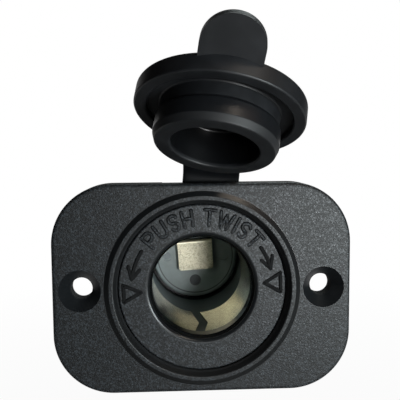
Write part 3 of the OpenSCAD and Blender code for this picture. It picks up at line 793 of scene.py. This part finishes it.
class SOCKET_OT_legend(bpy.types.Operator):
    """Add the moulded legend on the flange: two words, two arrows and two triangles"""

    bl_idname = "socket.legend"
    bl_label = "Moulded legend"

    def execute(self, context):
        sizes = context.scene.socket_sizes
        tones = context.scene.socket_colours
        foot = sizes.letter_radius
        height = sizes.letter_height
        words = []
        for word, middle, gap in WORDS:
            words += word_on_circle(word, middle, gap, foot, height)
        signs = []
        for tail, tip in ARROWS:
            signs += self.arrow(foot + height / 2, tail, tip)
        for corners in TRIANGLES:
            signs += line(*(np.array(corners + corners[:1]) * MM))
        relief = (sizes.stroke_height, sizes.stroke_low, sizes.seat_radius)
        smooth = tuple(tones.smooth)
        # The flanks are painted dark and matt: painted shade that outlines the strokes
        flanks = [(flank_shade_zone(*relief), smooth, 0.75)]
        grained = grained_nylon("letters_grained_nylon_shaded_flanks", tuple(tones.body), flanks, 0.14)
        # The signs are painted near-black all over: painted shade of their narrow raised strokes
        matt = satin_nylon("signs_matt_nylon_painted_shade", toned(smooth, 0.65), level=0.16, low=0.8, high=0.9)
        for name, paths, width, top, nylon in (
            ("moulded_words", words, sizes.letter_width, sizes.letter_top, grained),
            ("moulded_signs", signs, sizes.sign_width, sizes.sign_top, matt),
        ):
            shells = [moulded_stroke(path, width, top, *relief) for path in paths]
            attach(new_piece(name, shells, nylon), "socket")
        return {"FINISHED"}

    @staticmethod
    def arrow(radius, tail_deg, tip_deg):
        """An arrow along a circle: its shaft, and two barbs that run back from the tip."""
        tip = arc((0, 0), radius, tip_deg, tip_deg, 1)[0]
        back = tip_deg + math.copysign(BARB_DEGREES, tail_deg - tip_deg)
        barbs = [arc((0, 0), radius + side, back, back, 1)[0] for side in (-BARB_SPREAD, BARB_SPREAD)]
        return [arc((0, 0), radius, tail_deg, tip_deg)] + [line(barb, tip)[0] for barb in barbs]


class SOCKET_OT_lip(bpy.types.Operator):
    """Line the mouth with its polished straight lip"""

    bl_idname = "socket.lip"
    bl_label = "Polished lip"

    def execute(self, context):
        """A profile turned about the bore: straight along the lip, bevelled at its front, and closed inside
        the wall."""
        sizes = context.scene.socket_sizes
        front = FACE_Y + sizes.lip_inset
        back = FACE_Y + sizes.lip_length
        bore = sizes.lip_radius
        inside = bore + sizes.lip_bevel
        bevel_back = front + sizes.lip_bevel
        bevel_rise = 0.55 * sizes.lip_bevel
        y = np.linspace(back, bevel_back, 8)
        straight = np.stack([np.full_like(y, bore), y], 1)
        bevel = np.linspace((bore, bevel_back), (bore + bevel_rise, front), 6)[1:]
        profile = np.concatenate([[(inside, back)], straight, bevel, [(inside, front)]])
        smooth = tuple(context.scene.socket_colours.smooth)
        polished = satin_nylon("lip_polished_nylon", smooth, low=0.08, high=0.12, tooth=0.05)
        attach(new_piece("polished_lip", [hoop(profile, 128)], polished), "socket")
        return {"FINISHED"}


class SOCKET_OT_thread(bpy.types.Operator):
    """Add the thread on the barrel, from behind the clamp nut to before the latches"""

    bl_idname = "socket.thread"
    bl_label = "Barrel thread"

    def execute(self, context):
        """A ridge section carried along a helix: the radius is the barrel's plus the ridge, and y grows by
        one pitch for each turn. The ridge grows out of the barrel over the first half turn and sinks back
        over the last. Its section is in pitches along the barrel and thread heights out of it."""
        sizes = context.scene.socket_sizes
        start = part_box("clamp_nut")[1].y + sizes.thread_start
        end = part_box("socket_body")[1].y - sizes.thread_end
        turns = (end - start) / sizes.thread_pitch
        t = np.linspace(0, turns, int(turns * sizes.thread_steps))
        grow = np.clip(np.minimum(t, turns - t) * 2, 0.02, 1)
        section = np.array([(-0.42, -0.3), (-0.12, 1.0), (0.12, 1.0), (0.42, -0.3)])
        along = section[:, 0] * sizes.thread_pitch
        radius = sizes.barrel_radius + section[None, :, 1] * sizes.thread_height * grow[:, None]
        angle = 2 * np.pi * t[:, None]
        y = start + t[:, None] * sizes.thread_pitch + along[None, :]
        rings = np.stack([radius * np.cos(angle), y, radius * np.sin(angle)], -1)
        nylon = satin_nylon("thread_satin_nylon", tuple(context.scene.socket_colours.body))
        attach(new_piece("barrel_thread", [tube(rings)], nylon), "socket")
        return {"FINISHED"}


class SOCKET_OT_cap(bpy.types.Operator):
    """Finish the rubber cap and replace its strap by one curved from its ring to the cap's lug"""

    bl_idname = "socket.cap"
    bl_label = "Rubber cap and strap"

    def execute(self, context):
        sizes = context.scene.socket_sizes
        tone = tuple(context.scene.socket_colours.rubber)
        seat = -sizes.cap_seat / MM
        zones = [
            # The hollow is painted darker: painted shade in the recess; the other zones change only the
            # polish
            (cap_zone(seat, *PLUG_HOLLOW_SHADE), toned(tone, 0.4), 0.32),
            (cap_zone(seat, *PLUG_SIDE), tone, 0.34),
            (cap_zone(seat, *PLUG_CHAMFER), tone, 0.6),
        ]
        finish_with(moulded_rubber("moulded_nitrile_rubber_shaded_hollow", tone, 0.36, zones), "protective_cap")
        edge, lug, shells = self.strap(sizes)
        # The strap's rubber is painted darker, with little sheen: painted shade
        dull = moulded_rubber("strap_nitrile_rubber_painted_shade", toned(tone, 0.5), 0.08)
        strap = new_piece("bending_strap", shells, dull)
        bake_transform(strap)
        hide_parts("cap_tether")
        return {"FINISHED"}

    @staticmethod
    def strap(sizes):
        """A soft rectangle carried up from the ring and along a cubic curve to the cap's lug, turning from
        the ring's width direction to the lug's; and the ring, such a section turned about the bore. Before
        them, the places where the bend begins and ends."""

        def upright(vector):
            return turn_about(vector, (0, 1, 0), sizes.strap_turn)[0]

        def on_cap(vector):
            return opened(turn_about(vector, (0, 1, 0), sizes.cap_turn))

        hinge = np.array(HINGE["pos_m"])
        half = sizes.strap_thickness / 2
        ring_radius = (sizes.ring_inner + sizes.ring_outer) / 2
        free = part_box("mounting_plate")[1].z + sizes.strap_width / 2 * math.sin(sizes.strap_turn)
        low = upright((0, -half, ring_radius))
        edge = upright((0, -half, free))
        lug = hinge + on_cap((0, -sizes.lug_front, sizes.lug_reach)) - opened(hinge)
        edge_handle = edge + sizes.strap_bend * upright((0, 0, 1))
        lug_handle = lug + sizes.strap_bend * on_cap((0, 0, 1))
        t = np.linspace(0, 1, 48)[:, None]
        curve = ((1 - t) ** 3 * edge + 3 * t * (1 - t) ** 2 * edge_handle + 3 * t * t * (1 - t) * lug_handle
                 + t ** 3 * lug)
        stem = np.linspace(low, edge, 16)[:-1]
        middles = np.concatenate([stem, curve])
        ways = unit(np.gradient(middles, axis=0))
        share = np.concatenate([np.zeros(len(stem)), t[:, 0]])[:, None]
        widths = (1 - share) * upright((1, 0, 0)) + share * on_cap((1, 0, 0))
        normals = unit(np.cross(ways, widths))
        sides = unit(np.cross(normals, ways))
        section = soft_rectangle(sizes.strap_width, sizes.strap_thickness)
        rings = (middles[:, None, :] + sides[:, None, :] * section[None, :, :1]
                 + normals[:, None, :] * section[None, :, 1:])
        ring_section = soft_rectangle(sizes.ring_outer - sizes.ring_inner, sizes.strap_thickness, 24)
        return edge, lug, [tube(rings), hoop(ring_section + (ring_radius, -half), 96)]


class SOCKET_OT_stage(bpy.types.Operator):
    """Set the camera, lights, world and floor"""

    bl_idname = "socket.stage"
    bl_label = "Stage"

    def execute(self, context):
        scene = context.scene
        scene.view_settings.view_transform = "Standard"
        self.camera(scene)
        self.world(scene)
        self.lights(scene)
        self.floor(scene)
        return {"FINISHED"}

    @staticmethod
    def camera(scene):
        """A camera a little above the bore, turned a little to the right and down."""
        data = bpy.data.cameras.new("camera")
        data.lens = CAMERA_LENS
        data.sensor_width = CAMERA_SENSOR
        data.clip_start = 5 * MM
        made = bpy.data.objects.new("camera", data)
        scene.collection.objects.link(made)
        place = Matrix.Translation([c * MM for c in CAMERA_PLACE])
        right = Matrix.Rotation(math.radians(-CAMERA_RIGHT), 4, "Z")
        down = Matrix.Rotation(math.radians(90 - CAMERA_DOWN), 4, "X")
        roll = Matrix.Rotation(math.radians(-CAMERA_ROLL), 4, "Z")
        made.matrix_world = place @ (right @ down) @ roll
        scene.camera = made

    @staticmethod
    def background_share(tree, back):
        """The share of white background that a ray sees: all for a camera ray, the share back for a mirrored
        or refracted one, and none for other light."""
        ray = add_node(tree, "LightPath").outputs
        bent = add_node(tree, "Math", {0: ray["Is Glossy Ray"], 1: ray["Is Transmission Ray"]},
                        operation="MAXIMUM")
        mirrored = add_node(tree, "Math", {0: bent, 1: back}, operation="MULTIPLY")
        return add_node(tree, "Math", {0: ray["Is Camera Ray"], 1: mirrored}, operation="MAXIMUM")

    def world(self, scene):
        """White where the background is seen or mirrored; a dim room in front and for all other light."""
        made = bpy.data.worlds.new("studio")
        made.use_nodes = True
        tree = made.node_tree
        tree.nodes.clear()
        place = add_node(tree, "TexCoord").outputs["Generated"]
        way = add_node(tree, "SeparateXYZ", {"Vector": place}).outputs
        # Mirrored rays see white only where they point well to the back
        back = add_node(tree, "MapRange", {"Value": way["Y"], "From Min": 0.75, "From Max": 0.95})
        seen = self.background_share(tree, back)
        shown = add_node(tree, "Math", {0: seen, 1: ROOM_LIGHT}, operation="MAXIMUM")
        sky = add_node(tree, "Background", {"Color": WHITE, "Strength": shown})
        add_node(tree, "OutputWorld", {"Surface": sky})
        scene.world = made

    @staticmethod
    def lights(scene):
        """A key that looks into the bore, a cool side lamp low at the right, a dim warm ceiling and a bulb
        at the upper right, and a lamp behind."""
        for name, place, size, power, tint in LAMPS:
            data = bpy.data.lights.new(name, "AREA")
            data.shape = "RECTANGLE"
            data.size, data.size_y = size
            data.energy = power
            data.color = linear(tint)[:3]
            made = bpy.data.objects.new(name, data)
            scene.collection.objects.link(made)
            aim = Vector(LAMP_AIM) - Vector(place)
            turn = aim.to_track_quat("-Z", "Y").to_matrix().to_4x4()
            made.matrix_world = Matrix.Translation(place) @ turn

    def floor(self, scene):
        """A flat round floor below the plate: white to the eye and in mirrors, faintly shaded by the object
        in the middle and fading into the background at its rim. Its points are radius times cosine and
        sine."""
        a = np.linspace(0, 2 * np.pi, 96, endpoint=False)
        low = np.full_like(a, cad_box[0][2] - FLOOR_DROP)
        rim = np.stack([FLOOR_RADIUS * np.cos(a), FLOOR_RADIUS * np.sin(a), low], 1)
        mesh = bpy.data.meshes.new("floor")
        mesh.from_pydata(rim.tolist(), [], [list(range(len(rim)))])
        made = bpy.data.objects.new("floor", mesh)
        scene.collection.objects.link(made)
        paint = bpy.data.materials.new("floor_paint")
        paint.use_nodes = True
        tree = paint.node_tree
        tree.nodes.clear()
        place = add_node(tree, "TexCoord").outputs["Object"]
        back = add_node(tree, "MapRange", {"Value": own_place(tree)["Y"], "From Min": 0.0, "From Max": 0.1})
        seen = self.background_share(tree, back)
        # Near the object 0.94 of the floor is background, and from 0.3 m on all of it is
        away = add_node(tree, "VectorMath", {0: place}, operation="LENGTH")
        fade = add_node(tree, "MapRange", {"Value": away, "From Min": 0.06, "From Max": 0.3,
                                           "To Min": 0.94, "To Max": 1.0})
        share = add_node(tree, "Math", {0: seen, 1: fade}, operation="MULTIPLY")
        matt = add_node(tree, "BsdfDiffuse", {"Color": tuple(scene.socket_colours.stage)})
        glow = add_node(tree, "Emission", {"Color": WHITE})
        both = add_node(tree, "MixShader", {0: share, 1: matt, 2: glow})
        add_node(tree, "OutputMaterial", {"Surface": both})
        mesh.materials.append(paint)


PIECE_OPERATORS = (SOCKET_OT_mouldings, SOCKET_OT_contacts, SOCKET_OT_legend, SOCKET_OT_lip,
                   SOCKET_OT_thread, SOCKET_OT_cap, SOCKET_OT_stage)


class SOCKET_PT_build(bpy.types.Panel):
    """Sidebar panel that lists the sizes, the colours and the operators"""

    bl_idname = "SOCKET_PT_build"
    bl_label = "Lighter socket"
    bl_space_type = "VIEW_3D"
    bl_region_type = "UI"
    bl_category = "Socket"

    def draw(self, context):
        for group in (context.scene.socket_sizes, context.scene.socket_colours):
            box = self.layout.box()
            for name in group.__annotations__:
                box.prop(group, name)
        for operator in PIECE_OPERATORS:
            self.layout.operator(operator.bl_idname)


CLASSES = (SocketSizes, SocketColours, *PIECE_OPERATORS, SOCKET_PT_build)


def register():
    for made in CLASSES:
        bpy.utils.register_class(made)
    bpy.types.Scene.socket_sizes = PointerProperty(type=SocketSizes)
    bpy.types.Scene.socket_colours = PointerProperty(type=SocketColours)


def unregister():
    del bpy.types.Scene.socket_colours
    del bpy.types.Scene.socket_sizes
    for made in reversed(CLASSES):
        bpy.utils.unregister_class(made)


def main():
    """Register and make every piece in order."""
    register()
    bpy.ops.socket.mouldings()
    bpy.ops.socket.contacts()
    bpy.ops.socket.legend()
    bpy.ops.socket.lip()
    bpy.ops.socket.thread()
    bpy.ops.socket.cap()
    bpy.ops.socket.stage()


if __name__ == "__main__":
    main()
